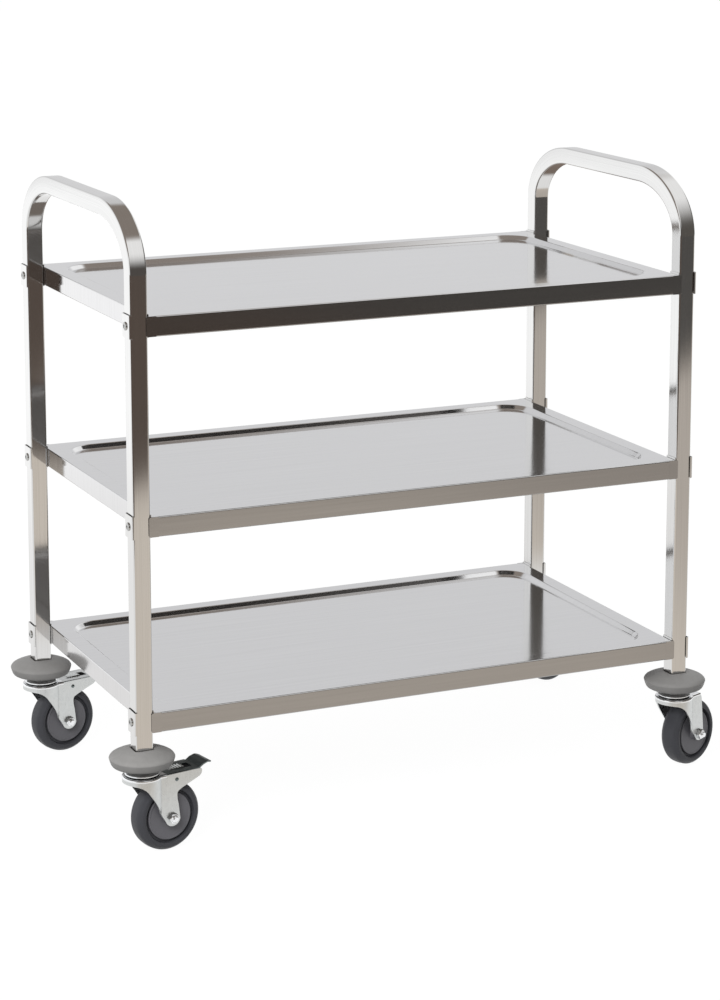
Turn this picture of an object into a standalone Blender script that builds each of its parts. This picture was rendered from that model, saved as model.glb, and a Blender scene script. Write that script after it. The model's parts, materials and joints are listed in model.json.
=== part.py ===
"""Three-tier steel serving cart on four swivel casters, two of them braked.

Two end frames of bent square tube carry three pressed trays. X runs along the trays,
Y from the front of the cart to its back and Z up from the floor. The origin is on the
floor at the middle of the cart's footprint, its trailing wheels included.
"""

import math

import bmesh
import bpy
from mathutils import Matrix, Vector

MM = 0.001

# Frames: square tube, measured over the outside of the legs.
FRAME_LENGTH = 868 * MM
FRAME_DEPTH = 476 * MM
HANDLE_HEIGHT = 900 * MM
TUBE = 25 * MM
TUBE_WALL = 1.2 * MM
TUBE_ROUNDING = 2.2 * MM
BEND_REACH = 127 * MM
BEND_DROP = 92 * MM
BEND_STEPS = 10
LEG_FOOT = 129 * MM
INSERT_HEIGHT = 14 * MM

# Trays: pressed sheet with folded rims.
TRAY_TOPS = {"top": 753 * MM, "middle": 478 * MM, "bottom": 203 * MM}
RIM_HEIGHT = 28 * MM
RIM_RETURN = 12 * MM
SHEET = 1.0 * MM
RIM_PROUD = 1.5 * MM
FLANGE = 25 * MM
RECESS_DEPTH = 6 * MM
RECESS_SLOPE = 7 * MM
RECESS_CORNER = 42 * MM
TRAY_CORNER = 1.5 * MM
TRAY_CORNER_STEPS = 4

# Corner joints: a channel on the tray, a cover plate and a screw.
CLEARANCE = 0.3 * MM
PLATE = 1.0 * MM
PLATE_LIP = 2.3 * MM
PLATE_HEIGHT = 32 * MM
PLATE_RISE = 3 * MM
SCREW_RADIUS = 2.4 * MM
SCREW_HOLE = 2.8 * MM
SCREW_LENGTH = 34 * MM
SCREW_HEAD_RADIUS = 6 * MM
SCREW_HEAD_HEIGHT = 3.4 * MM
SCREW_CROSS = 7 * MM
SCREW_CROSS_WIDTH = 1.2 * MM

# Bumpers: rubber discs round the feet of the legs.
BUMPER_RADIUS = 46 * MM
BUMPER_BOTTOM = 124.5 * MM
BUMPER_MIDDLE = 138 * MM
BUMPER_TOP = 151.5 * MM
BUMPER_CROWN_RADIUS = 19 * MM
BUMPER_BASE_RADIUS = 26 * MM
BUMPER_HOLE = 27 * MM
BUMPER_STEPS = 24

# Casters, in their own frame: x trails from the stem to the axle.
WHEEL_RADIUS = 50 * MM
WHEEL_TRAIL = 35 * MM
TYRE_WIDTH = 32 * MM
TYRE_SHOULDER = 7 * MM
TYRE_BORE = 34 * MM
HUB_RADIUS = 33.6 * MM
HUB_WIDTH = 27 * MM
HUB_BOSS_RADIUS = 11 * MM
HUB_BOSS_WIDTH = 37 * MM
AXLE_RADIUS = 4 * MM
AXLE_CLEARANCE = 0.25 * MM
STEM_RADIUS = 5 * MM
CROWN_RADIUS = 28 * MM
CROWN_TOP = 114 * MM
CROWN_BACK = {"braked": 22 * MM, "plain": 38 * MM}
FORK_SHEET = 2 * MM
CREASE = 17 * MM
RACE_BOTTOM = 116.6 * MM
RACE_TOP = 120 * MM
RACE_RADIUS = 23 * MM
PIVOT = Vector((42 * MM, 0, 104 * MM))
PIVOT_RADIUS = 2 * MM
PEDAL_SHEET = 1.8 * MM
PEDAL_WIDTH = 37 * MM
PEDAL_TOP = 113 * MM

# How far each caster has swung from +X, and which kind it is.
CASTERS = {
    "front_left": (10.9, "braked"),
    "front_right": (22.5, "plain"),
    "back_left": (12.2, "braked"),
    "back_right": (18.0, "plain"),
}
# The right-hand wheels trail beyond the frames, so the frames stand this far left.
FRAME_SHIFT = -18.3 * MM

LEG_X = (FRAME_LENGTH - TUBE) / 2
LEG_Y = (FRAME_DEPTH - TUBE) / 2
SIDES = {"left": -1, "right": 1}
ENDS = {"front": -1, "back": 1}

cart = bpy.data.collections.new("serving_cart")


def clear_scene():
    for old in list(bpy.data.objects):
        bpy.data.objects.remove(old, do_unlink=True)
    bpy.context.scene.collection.children.link(cart)


def make_material(name, colour, roughness, metallic):
    material = bpy.data.materials.new(name)
    material.use_nodes = True
    shader = material.node_tree.nodes["Principled BSDF"]
    shader.inputs["Base Color"].default_value = (*colour, 1)
    shader.inputs["Roughness"].default_value = roughness
    shader.inputs["Metallic"].default_value = metallic
    return material


def place(name, mesh, material, parent=None, location=(0, 0, 0)):
    """Adds a finished sub-part to the cart."""
    part = bpy.data.objects.new(name, mesh)
    cart.objects.link(part)
    if not mesh.materials:
        mesh.materials.append(material)
    part.parent = parent
    part.location = location
    mesh.shade_smooth()
    mesh.set_sharp_from_angle(angle=math.radians(35))
    return part


# ---- shapes ----


def temporary(name, data):
    helper = bpy.data.objects.new(name, data)
    cart.objects.link(helper)
    return helper


def evaluated(helper):
    """The helper's shape with its modifiers, welded, as a mesh of its own."""
    graph = bpy.context.evaluated_depsgraph_get()
    mesh = bpy.data.meshes.new_from_object(helper.evaluated_get(graph))
    mesh.transform(helper.matrix_world)
    bpy.data.objects.remove(helper, do_unlink=True)
    work = bmesh.new()
    work.from_mesh(mesh)
    bmesh.ops.remove_doubles(work, verts=work.verts, dist=1e-6)
    bmesh.ops.recalc_face_normals(work, faces=work.faces)
    work.to_mesh(mesh)
    work.free()
    return mesh


def from_bmesh(work):
    mesh = bpy.data.meshes.new("shape")
    work.to_mesh(mesh)
    work.free()
    return mesh


def block(low, high):
    work = bmesh.new()
    size = [b - a for a, b in zip(low, high)]
    middle = [(a + b) / 2 for a, b in zip(low, high)]
    matrix = Matrix.Translation(middle) @ Matrix.Diagonal((*size, 1))
    bmesh.ops.create_cube(work, size=1, matrix=matrix)
    return from_bmesh(work)


def rod(radius, start, end, sides=12):
    """A round bar from one point to another."""
    start, end = Vector(start), Vector(end)
    work = bmesh.new()
    turn = (end - start).to_track_quat("Z", "Y").to_matrix().to_4x4()
    matrix = Matrix.Translation((start + end) / 2) @ turn
    bmesh.ops.create_cone(
        work, cap_ends=True, segments=sides, radius1=radius, radius2=radius,
        depth=(end - start).length, matrix=matrix,
    )
    return from_bmesh(work)


def turned(profile, steps, closed=False):
    """Turns (radius, height) points, running down the outside, about Z."""
    work = bmesh.new()
    points = [work.verts.new((radius, 0, height)) for radius, height in profile]
    for first, second in zip(points, points[1:]):
        work.edges.new((first, second))
    if closed:
        work.edges.new((points[-1], points[0]))
    helper = temporary("turned", from_bmesh(work))
    screw = helper.modifiers.new("turn", "SCREW")
    screw.steps = steps
    screw.render_steps = steps
    screw.use_merge_vertices = True
    screw.merge_threshold = 1e-6
    return evaluated(helper)


def outline(points, thickness):
    """A flat plate of a closed outline in XY, thickness centred on Z = 0."""
    curve = bpy.data.curves.new("outline", "CURVE")
    curve.dimensions = "2D"
    curve.fill_mode = "BOTH"
    curve.extrude = thickness / 2
    spline = curve.splines.new("POLY")
    spline.points.add(len(points) - 1)
    for point, (x, y) in zip(spline.points, points):
        point.co = (x, y, 0, 1)
    spline.use_cyclic_u = True
    return evaluated(temporary("outline", curve))


def upright(mesh):
    """Stands an XY plate up in XZ."""
    mesh.transform(Matrix.Rotation(math.radians(90), 4, "X"))
    return mesh


def lifted(mesh, height):
    mesh.transform(Matrix.Translation((0, 0, height)))
    return mesh


def combine(base, operation, *others):
    """Joins, cuts or intersects closed meshes, one after the other."""
    for other in others:
        target = temporary("target", base)
        tool = temporary("tool", other)
        cut = target.modifiers.new("combine", "BOOLEAN")
        cut.operation = operation
        cut.object = tool
        base = evaluated(target)
        bpy.data.objects.remove(tool, do_unlink=True)
    return base


def arc(centre, radius, start, end, steps):
    """Points along a circle, angles in degrees."""
    angles = [math.radians(start + (end - start) * i / steps) for i in range(steps + 1)]
    return [(centre[0] + radius * math.cos(a), centre[1] + radius * math.sin(a)) for a in angles]


# ---- end frames ----


def square_section(width, rounding):
    """The tube's outline as a curve to sweep."""
    reach = width / 2 - rounding
    points = []
    for quarter in range(4):
        centre = (
            reach * (1 if quarter in (0, 3) else -1),
            reach * (1 if quarter in (0, 1) else -1),
        )
        points += arc(centre, rounding, 90 * quarter, 90 * quarter + 90, 1) if rounding else [centre]
    curve = bpy.data.curves.new("section", "CURVE")
    curve.dimensions = "2D"
    spline = curve.splines.new("POLY")
    spline.points.add(len(points) - 1)
    for point, (x, y) in zip(spline.points, points):
        point.co = (x, y, 0, 1)
    spline.use_cyclic_u = True
    return curve


def frame_path(foot):
    """Tube centreline in YZ: up the front leg, over the handle and down the back leg."""
    half = []
    for i in range(BEND_STEPS + 1):
        angle = math.pi / 2 * i / BEND_STEPS
        out = Vector((math.cos(angle) / BEND_REACH, math.sin(angle) / BEND_DROP)).normalized()
        y = FRAME_DEPTH / 2 - BEND_REACH + BEND_REACH * math.cos(angle) - out.x * TUBE / 2
        z = HANDLE_HEIGHT - BEND_DROP + BEND_DROP * math.sin(angle) - out.y * TUBE / 2
        half.append((y, z))
    levels = sorted(TRAY_TOPS.values())
    # A ring between two trays keeps each screw hole in a face of its own.
    stations = [foot] + [(low + high) / 2 for low, high in zip(levels, levels[1:])]
    half = [(LEG_Y, z) for z in stations] + half
    return [(-y, z) for y, z in half] + half[::-1]


def swept_tube(width, rounding, foot):
    section = temporary("section", square_section(width, rounding))
    curve = bpy.data.curves.new("path", "CURVE")
    curve.dimensions = "3D"
    curve.twist_mode = "MINIMUM"
    curve.bevel_mode = "OBJECT"
    curve.bevel_object = section
    curve.use_fill_caps = True
    path = frame_path(foot)
    spline = curve.splines.new("POLY")
    spline.points.add(len(path) - 1)
    for point, (y, z) in zip(spline.points, path):
        point.co = (0, y, z, 1)
    tube = evaluated(temporary("tube", curve))
    bpy.data.objects.remove(section, do_unlink=True)
    return tube


def end_frame():
    """One bent tube: two legs and the handle, with a threaded insert in each foot."""
    tube = swept_tube(TUBE, TUBE_ROUNDING, LEG_FOOT)
    hollow = swept_tube(TUBE - 2 * TUBE_WALL, 0, LEG_FOOT + INSERT_HEIGHT)
    screw_holes = []
    for y in (-LEG_Y, LEG_Y):
        low, high = LEG_FOOT - 1 * MM, LEG_FOOT + INSERT_HEIGHT + 1 * MM
        hollow = combine(hollow, "UNION", rod(STEM_RADIUS + CLEARANCE, (0, y, low), (0, y, high)))
        for top in TRAY_TOPS.values():
            height = screw_height(top)
            screw_holes.append(rod(SCREW_HOLE, (-TUBE, y, height), (TUBE, y, height), 8))
    return combine(tube, "DIFFERENCE", hollow, *screw_holes)


# ---- trays, cover plates and screws ----


def screw_height(top):
    return top + PLATE_RISE - PLATE_HEIGHT / 2


def channel(side):
    """A shallow channel round one face of a leg, its web on the leg's inner or outer face.

    Its frame is the leg's axis; side is the direction from the leg to the web.
    """
    near = TUBE / 2 + CLEARANCE
    web = sorted((side * (near + PLATE), side * (TUBE / 2 - PLATE_LIP + CLEARANCE)))
    hollow = sorted((side * near, side * (TUBE / 2 - 2 * PLATE_LIP)))
    half = PLATE_HEIGHT / 2
    shell = block((web[0], -near - PLATE, -half), (web[1], near + PLATE, half))
    inside = block((hollow[0], -near, -half - PLATE), (hollow[1], near, half + PLATE))
    return combine(shell, "DIFFERENCE", inside)


def rounded_rectangle(half_x, half_y, radius, height):
    """A ring of points round a rectangle with rounded corners."""
    ring = []
    for quarter, (x_side, y_side) in enumerate(((1, 1), (-1, 1), (-1, -1), (1, -1))):
        centre = (x_side * (half_x - radius), y_side * (half_y - radius))
        corner = arc(centre, radius, 90 * quarter, 90 * quarter + 90, TRAY_CORNER_STEPS)
        ring += [(x, y, height) for x, y in corner]
    return ring


def tray_surface():
    """The pressed sheet's outer face: rim return, rim, flange, slope and floor."""
    half_x = FRAME_LENGTH / 2 - TUBE - CLEARANCE - PLATE / 2
    half_y = FRAME_DEPTH / 2 + RIM_PROUD
    steps = (
        (RIM_RETURN, TRAY_CORNER, -RIM_HEIGHT),
        (0, TRAY_CORNER, -RIM_HEIGHT),
        (0, TRAY_CORNER, 0),
        (FLANGE, RECESS_CORNER, 0),
        (FLANGE + RECESS_SLOPE, RECESS_CORNER - RECESS_SLOPE, -RECESS_DEPTH),
    )
    work = bmesh.new()
    rings = []
    for inset, corner, height in steps:
        ring = rounded_rectangle(half_x - inset, half_y - inset, corner, height)
        rings.append([work.verts.new(point) for point in ring])
    for outer, inner in zip(rings, rings[1:]):
        for i in range(len(outer)):
            work.faces.new((outer[i - 1], outer[i], inner[i], inner[i - 1]))
    work.faces.new(rings[-1])
    return from_bmesh(work)


def tray():
    """A pressed tray with its four channels, its upper face at Z = 0."""
    helper = temporary("tray", tray_surface())
    thicken = helper.modifiers.new("sheet", "SOLIDIFY")
    thicken.thickness = SHEET
    thicken.offset = -1
    thicken.use_even_offset = True
    shape = evaluated(helper)
    corners = [(x_side, y_side) for x_side in SIDES.values() for y_side in ENDS.values()]
    for x_side, y_side in corners:
        fitting = channel(-x_side)
        fitting.transform(Matrix.Translation((x_side * LEG_X, y_side * LEG_Y, screw_height(0))))
        shape = combine(shape, "UNION", fitting)
    for x_side, y_side in corners:
        inner, outer = x_side * (LEG_X - 2 * TUBE), x_side * LEG_X
        y, z = y_side * LEG_Y, screw_height(0)
        shape = combine(shape, "DIFFERENCE", rod(SCREW_HOLE, (inner, y, z), (outer, y, z), 8))
    return shape


def cover_plate():
    """The plate on a left leg's outer face, about the leg's axis."""
    hole = rod(SCREW_HOLE, (-TUBE, 0, 0), (0, 0, 0), 8)
    return combine(channel(-1), "DIFFERENCE", hole)


def screw():
    """A pan-head cross-recess screw along +X, its head's seat at X = 0."""
    edge = SCREW_HEAD_RADIUS
    high = SCREW_HEAD_HEIGHT
    profile = [(0, high), (edge * 0.68, high * 0.86), (edge, high * 0.25), (edge, 0)]
    profile += [(SCREW_RADIUS, 0), (SCREW_RADIUS, -SCREW_LENGTH), (0, -SCREW_LENGTH)]
    body = turned(profile, 12)
    half, thin = SCREW_CROSS / 2, SCREW_CROSS_WIDTH / 2
    floor, above = high * 0.45, high + 1 * MM
    first = block((-half, -thin, floor), (half, thin, above))
    second = block((-thin, -half, floor), (thin, half, above))
    cross = combine(first, "UNION", second)
    body = combine(body, "DIFFERENCE", cross)
    body.transform(Matrix.Rotation(math.radians(-90), 4, "Y"))
    return body


# ---- bumpers ----


def bumper():
    """A domed rubber disc with a square pocket for the leg and a hole for the stem."""
    over = BUMPER_TOP - BUMPER_MIDDLE
    under = BUMPER_MIDDLE - BUMPER_BOTTOM
    profile = [(0, BUMPER_TOP), (BUMPER_CROWN_RADIUS, BUMPER_TOP)]
    for angle in (65, 38, 10):
        a = math.radians(angle)
        radius = BUMPER_CROWN_RADIUS + (BUMPER_RADIUS - BUMPER_CROWN_RADIUS) * math.cos(a)
        profile.append((radius, BUMPER_MIDDLE + over * math.sin(a)))
    for angle in (-10, -50):
        a = math.radians(angle)
        radius = BUMPER_BASE_RADIUS + (BUMPER_RADIUS - BUMPER_BASE_RADIUS) * math.cos(a)
        profile.append((radius, BUMPER_MIDDLE + under * math.sin(a)))
    profile += [(BUMPER_BASE_RADIUS, BUMPER_BOTTOM), (0, BUMPER_BOTTOM)]
    disc = turned(profile, BUMPER_STEPS)
    half = BUMPER_HOLE / 2
    pocket = block((-half, -half, LEG_FOOT - CLEARANCE), (half, half, BUMPER_TOP + TUBE))
    hole = rod(STEM_RADIUS + CLEARANCE, (0, 0, BUMPER_BOTTOM - TUBE), (0, 0, LEG_FOOT + TUBE))
    return combine(disc, "DIFFERENCE", pocket, hole)


# ---- casters ----


def stem():
    """The threaded stem with its neck and the upper swivel race, fixed to the leg."""
    top = LEG_FOOT + INSERT_HEIGHT + 4 * MM
    neck_top = BUMPER_BOTTOM - CLEARANCE
    profile = [(0, top), (STEM_RADIUS, top), (STEM_RADIUS, neck_top), (15 * MM, neck_top)]
    profile += [(15 * MM, RACE_TOP), (RACE_RADIUS - 1.5 * MM, RACE_TOP)]
    profile += [(RACE_RADIUS, RACE_TOP - 1.2 * MM), (RACE_RADIUS, RACE_BOTTOM)]
    kingpin_foot = CROWN_TOP - FORK_SHEET - 4 * MM
    profile += [(STEM_RADIUS, RACE_BOTTOM), (STEM_RADIUS, kingpin_foot), (0, kingpin_foot)]
    return turned(profile, 16)


def ball_ring():
    """The closed ball track between the race and the fork."""
    low, high = CROWN_TOP + CLEARANCE, RACE_BOTTOM - CLEARANCE
    inner, outer = STEM_RADIUS + 5 * MM, RACE_RADIUS + 2 * MM
    profile = [(inner, high), (outer - 1 * MM, high), (outer, low), (inner, low)]
    return turned(profile, 16, closed=True)


def fork_side(kind):
    """The fork seen from its side: x along the trail, y up from the floor."""
    axle = (WHEEL_TRAIL, WHEEL_RADIUS)
    front = [(-30, 107.4), (-24, 105.6), (-18, 104.4), (-13.6, 102.4), (-6, 95), (-1, 87.6)]
    front += [(7, 76), (14, 63)]
    if kind == "braked":
        foot_radius, foot_end = 12 * MM, -12
        back = [(44.3, 68), (42.3, 82), (43.6, 86.6), (50, 90), (59, 93), (79, 99.8)]
        back += [(82.6, 103.5), (82.6, 109), (80, 112.6)]
    else:
        foot_radius, foot_end = 10 * MM, -5
        back = [(43, 66), (40, 90), (38, 106)]
    foot = arc(axle, foot_radius, 200, 360 + foot_end, 7)
    rear_top = [(back[-1][0] * MM, CROWN_TOP - 1 * MM), (-30 * MM, CROWN_TOP - 1 * MM)]
    scaled_front = [(x * MM, y * MM) for x, y in front]
    return scaled_front + foot + [(x * MM, y * MM) for x, y in back] + rear_top


def crown_outline(back, radius):
    """The crown seen from above: round in front, straight at the sides."""
    half = math.sqrt(CROWN_RADIUS**2 - CREASE**2) - (CROWN_RADIUS - radius)
    angle = math.degrees(math.atan2(half, CREASE))
    return [(back, half)] + arc((0, 0), radius, angle, 360 - angle, 16) + [(back, -half)]


def fork(kind):
    """The pressed yoke: a crown, a skirt round its front and two side plates."""
    inner_radius = CROWN_RADIUS - FORK_SHEET
    far = 90 * MM
    walls = crown_outline(far, CROWN_RADIUS) + crown_outline(far, inner_radius)[::-1]
    shell = lifted(outline(walls, 100 * MM), 70 * MM)
    side = upright(outline(fork_side(kind), 80 * MM))
    yoke = combine(shell, "INTERSECT", side)
    plate = outline(crown_outline(CROWN_BACK[kind], CROWN_RADIUS - 0.05 * MM), FORK_SHEET)
    yoke = combine(yoke, "UNION", lifted(plate, CROWN_TOP - FORK_SHEET / 2))
    kingpin = rod(STEM_RADIUS + CLEARANCE, (0, 0, 90 * MM), (0, 0, 130 * MM))
    axle = rod(AXLE_RADIUS + CLEARANCE, (WHEEL_TRAIL, -0.05, WHEEL_RADIUS), (WHEEL_TRAIL, 0.05, WHEEL_RADIUS))
    yoke = combine(yoke, "DIFFERENCE", kingpin, axle)
    if kind == "braked":
        ends = [(PIVOT.x, y, PIVOT.z) for y in (-0.05, 0.05)]
        yoke = combine(yoke, "DIFFERENCE", rod(PIVOT_RADIUS + CLEARANCE, *ends))
    return yoke


def on_axle(mesh):
    """Lays a turned shape's axis along Y."""
    mesh.transform(Matrix.Rotation(math.radians(90), 4, "X"))
    return mesh


def tyre():
    half = TYRE_WIDTH / 2
    profile = [(TYRE_BORE, HUB_WIDTH / 2)]
    for angle in (90, 55, 25, 0):
        a = math.radians(angle)
        radius = WHEEL_RADIUS - TYRE_SHOULDER + TYRE_SHOULDER * math.cos(a)
        profile.append((radius, half * math.sin(a)))
    profile += [(radius, -height) for radius, height in reversed(profile[:-1])]
    return on_axle(turned(profile, 28, closed=True))


def hub():
    half, boss = HUB_WIDTH / 2, HUB_BOSS_WIDTH / 2
    bore = AXLE_RADIUS + AXLE_CLEARANCE
    upper = [(bore, boss), (HUB_BOSS_RADIUS - 1 * MM, boss), (HUB_BOSS_RADIUS, half)]
    upper += [(HUB_RADIUS - 1.2 * MM, half), (HUB_RADIUS, half - 1.2 * MM)]
    lower = [(radius, -height) for radius, height in reversed(upper)]
    return on_axle(turned(upper + lower, 18, closed=True))


def axle_bolt():
    """The axle with its hexagon head and, at the outer side, its lock nut."""
    grip = math.sqrt(CROWN_RADIUS**2 - CREASE**2) + CLEARANCE
    shank = rod(AXLE_RADIUS, (0, -grip - 9.5 * MM, 0), (0, grip + 2 * MM, 0), 12)
    head = rod(7.2 * MM, (0, grip, 0), (0, grip + 5.5 * MM, 0), 6)
    nut = rod(7.2 * MM, (0, -grip - 7 * MM, 0), (0, -grip, 0), 6)
    return combine(shank, "UNION", head, nut)


def brake_pedal():
    """The pedal with its shoe and pivot pin, about the pivot."""
    low, high = PEDAL_TOP - PEDAL_SHEET, PEDAL_TOP
    points = [(24 * MM, low), (82 * MM, low), (87 * MM, 114.6 * MM), (93 * MM, 117 * MM)]
    points += [(101 * MM, 116.2 * MM)]
    points += [(101.4 * MM, 118 * MM), (92.6 * MM, 118.9 * MM), (85.4 * MM, 116.2 * MM)]
    points += [(81 * MM, high), (24 * MM, high)]
    pedal = upright(outline(points, PEDAL_WIDTH))
    half = PEDAL_WIDTH / 2
    slot = block((36 * MM, -half + 8 * MM, low - 1 * MM), (49 * MM, half - 8 * MM, high + 1 * MM))
    shoe = block((54 * MM, -half + 4 * MM, 98.5 * MM), (60 * MM, half - 4 * MM, high - 0.5 * MM))
    ears = []
    for side in (-1, 1):
        outer = half - CLEARANCE
        faces = sorted((side * outer, side * (outer - PEDAL_SHEET)))
        ears.append(block((37 * MM, faces[0], 101.5 * MM), (48 * MM, faces[1], high - 0.5 * MM)))
    pin_reach = math.sqrt(CROWN_RADIUS**2 - CREASE**2) + CLEARANCE + 1 * MM
    pin = rod(PIVOT_RADIUS, (PIVOT.x, -pin_reach, PIVOT.z), (PIVOT.x, pin_reach, PIVOT.z))
    pedal = combine(pedal, "UNION", shoe, *ears, pin)
    pedal = combine(pedal, "DIFFERENCE", slot)
    pedal.transform(Matrix.Translation(-PIVOT))
    return pedal


# ---- assembly ----


def build_frames_and_trays(steel, bright):
    frame_mesh = end_frame()
    tray_mesh = tray()
    plate_mesh = cover_plate()
    screw_mesh = screw()
    for side, x_side in SIDES.items():
        place(f"end_frame_{side}", frame_mesh, steel, location=(FRAME_SHIFT + x_side * LEG_X, 0, 0))
    for level, top in TRAY_TOPS.items():
        place(f"tray_{level}", tray_mesh, steel, location=(FRAME_SHIFT, 0, top))
        for side, x_side in SIDES.items():
            for end, y_side in ENDS.items():
                spot = Vector((FRAME_SHIFT + x_side * LEG_X, y_side * LEG_Y, screw_height(top)))
                facing = math.radians(0 if x_side < 0 else 180)
                cover = place(f"cover_plate_{level}_{end}_{side}", plate_mesh, steel, location=spot)
                cover.rotation_euler.z = facing
                seat = TUBE / 2 + PLATE + 2 * CLEARANCE
                fixing = place(f"screw_{level}_{end}_{side}", screw_mesh, bright, location=spot)
                fixing.location.x += x_side * seat
                fixing.rotation_euler.z = facing


def build_casters(bright, zinc, rubber, tyre_rubber, plastic):
    stem_mesh, ring_mesh, tyre_mesh = stem(), ball_ring(), tyre()
    hub_mesh, bolt_mesh, bumper_mesh = hub(), axle_bolt(), bumper()
    pedal_mesh = brake_pedal()
    forks = {kind: fork(kind) for kind in ("braked", "plain")}
    for corner, (heading, kind) in CASTERS.items():
        end, side = corner.split("_")
        foot = (FRAME_SHIFT + SIDES[side] * LEG_X, ENDS[end] * LEG_Y, 0)
        place(f"bumper_{corner}", bumper_mesh, rubber, location=foot)
        place(f"caster_stem_{corner}", stem_mesh, bright, location=foot)
        swivel = bpy.data.objects.new(f"swivel_{corner}", None)
        cart.objects.link(swivel)
        swivel.location = foot
        swivel.rotation_euler.z = math.radians(heading)
        place(f"ball_ring_{corner}", ring_mesh, bright, parent=swivel)
        place(f"fork_{corner}", forks[kind], zinc, parent=swivel)
        axle = (WHEEL_TRAIL, 0, WHEEL_RADIUS)
        place(f"axle_bolt_{corner}", bolt_mesh, bright, parent=swivel, location=axle)
        place(f"tyre_{corner}", tyre_mesh, tyre_rubber, parent=swivel, location=axle)
        place(f"hub_{corner}", hub_mesh, plastic, parent=swivel, location=axle)
        if kind == "braked":
            place(f"brake_pedal_{corner}", pedal_mesh, zinc, parent=swivel, location=PIVOT)


def build():
    clear_scene()
    steel = make_material("brushed_stainless", (0.62, 0.60, 0.57), 0.28, 1.0)
    bright = make_material("bright_steel", (0.72, 0.72, 0.71), 0.2, 1.0)
    zinc = make_material("zinc_plate", (0.64, 0.67, 0.66), 0.32, 1.0)
    rubber = make_material("bumper_rubber", (0.25, 0.245, 0.23), 0.6, 0.0)
    tyre_rubber = make_material("tyre_rubber", (0.06, 0.06, 0.065), 0.55, 0.0)
    plastic = make_material("hub_plastic", (0.09, 0.088, 0.095), 0.45, 0.0)
    build_frames_and_trays(steel, bright)
    build_casters(bright, zinc, rubber, tyre_rubber, plastic)


build()
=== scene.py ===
"""The looks of a three-tier steel serving cart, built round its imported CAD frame.

Every CAD node is stood for by a smooth piece made here in mesh code. Lengths are in metres,
X runs along the trays, Y from front to back and Z up from the floor.
"""

import json
import math

import bmesh
import bpy
from mathutils import Matrix, Vector


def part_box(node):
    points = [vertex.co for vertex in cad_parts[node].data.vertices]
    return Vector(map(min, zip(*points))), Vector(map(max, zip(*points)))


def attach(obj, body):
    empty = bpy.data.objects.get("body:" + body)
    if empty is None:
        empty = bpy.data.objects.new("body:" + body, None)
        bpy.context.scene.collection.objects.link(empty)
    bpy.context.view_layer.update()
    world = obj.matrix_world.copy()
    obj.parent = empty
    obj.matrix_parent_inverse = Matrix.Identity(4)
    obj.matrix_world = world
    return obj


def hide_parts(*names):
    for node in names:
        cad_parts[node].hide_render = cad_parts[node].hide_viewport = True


MM = 0.001
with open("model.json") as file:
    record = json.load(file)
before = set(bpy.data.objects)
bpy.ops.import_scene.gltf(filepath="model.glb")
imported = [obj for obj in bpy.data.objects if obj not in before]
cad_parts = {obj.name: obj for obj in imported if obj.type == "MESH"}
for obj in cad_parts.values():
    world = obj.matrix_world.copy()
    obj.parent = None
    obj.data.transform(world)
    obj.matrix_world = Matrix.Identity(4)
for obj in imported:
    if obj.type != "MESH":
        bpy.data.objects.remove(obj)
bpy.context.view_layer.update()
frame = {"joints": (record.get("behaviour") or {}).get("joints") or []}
scene = bpy.context.scene

LEVELS = ("top", "middle", "bottom")
ENDS = {"front": -1, "back": 1}
SIDES = {"left": -1, "right": 1}
CORNERS = [f"{end}_{side}" for end in ENDS for side in SIDES]
BRAKED = ("front_left", "back_left")
JOINTS = {joint["name"]: joint for joint in frame["joints"]}

# Sizes of the cart. They are the CAD's, except that its recess is 6 mm deep and 7 mm wide.
TUBE = 25 * MM
TUBE_ROUNDING = 2.6 * MM
BEND_REACH = 127 * MM
BEND_DROP = 92 * MM
RIM_HEIGHT = 28 * MM
RIM_RETURN = 12 * MM
SHEET = 1.0 * MM
FLANGE = 25 * MM
RECESS_DEPTH = 6.2 * MM
RECESS_SLOPE = 6.6 * MM
RECESS_CORNER = 42 * MM
TRAY_CORNER = 1.5 * MM
RIM_LAP = 3.4 * MM
RIM_END_SHEET = 0.9 * MM
RIM_END_INSET = 0.35 * MM
CLEARANCE = 0.3 * MM
PLATE = 1.0 * MM
PLATE_LIP = 2.3 * MM
PLATE_HEIGHT = 32 * MM
PLATE_RISE = 3 * MM
TRAIL = 35 * MM
WHEEL_RADIUS = 50 * MM
CROWN_RADIUS = 28 * MM
CROWN_TOP = 114 * MM
FORK_SHEET = 2 * MM
CREASE = 17 * MM
PIVOT = Vector((42 * MM, 0, 104 * MM))
CROSS_TURN = 20
NUT_ACROSS = 13 * MM


# ---- mesh tools ----


def fillet(points, closed=False, steps=5):
    """Rounds a polyline's corners. Each point is (x, y, radius); a radius of 0 stays sharp."""
    made = []
    count = len(points)
    for i, (x, y, radius) in enumerate(points):
        here = Vector((x, y))
        if radius <= 0 or (not closed and i in (0, count - 1)):
            made.append((x, y))
            continue
        before = Vector(points[i - 1][:2]) - here
        after = Vector(points[(i + 1) % count][:2]) - here
        angle = before.angle(after)
        reach = min(radius / math.tan(angle / 2), before.length * 0.49, after.length * 0.49)
        radius = reach * math.tan(angle / 2)
        before, after = before.normalized(), after.normalized()
        centre = here + (before + after).normalized() * (radius / math.sin(angle / 2))
        first = here + before * reach - centre
        last = here + after * reach - centre
        turn = first.angle_signed(last)
        for k in range(steps + 1):
            spoke = first.copy()
            spoke.rotate(Matrix.Rotation(-turn * k / steps, 2))
            made.append(tuple(centre + spoke))
    return made


def offset_line(points, distance):
    """An open 2D polyline moved sideways, to the right of its direction."""
    shifted = []
    for i, point in enumerate(points):
        ahead = Vector(points[min(i + 1, len(points) - 1)]) - Vector(points[max(i - 1, 0)])
        ahead.normalize()
        shifted.append((point[0] + ahead.y * distance, point[1] - ahead.x * distance))
    return shifted


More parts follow.
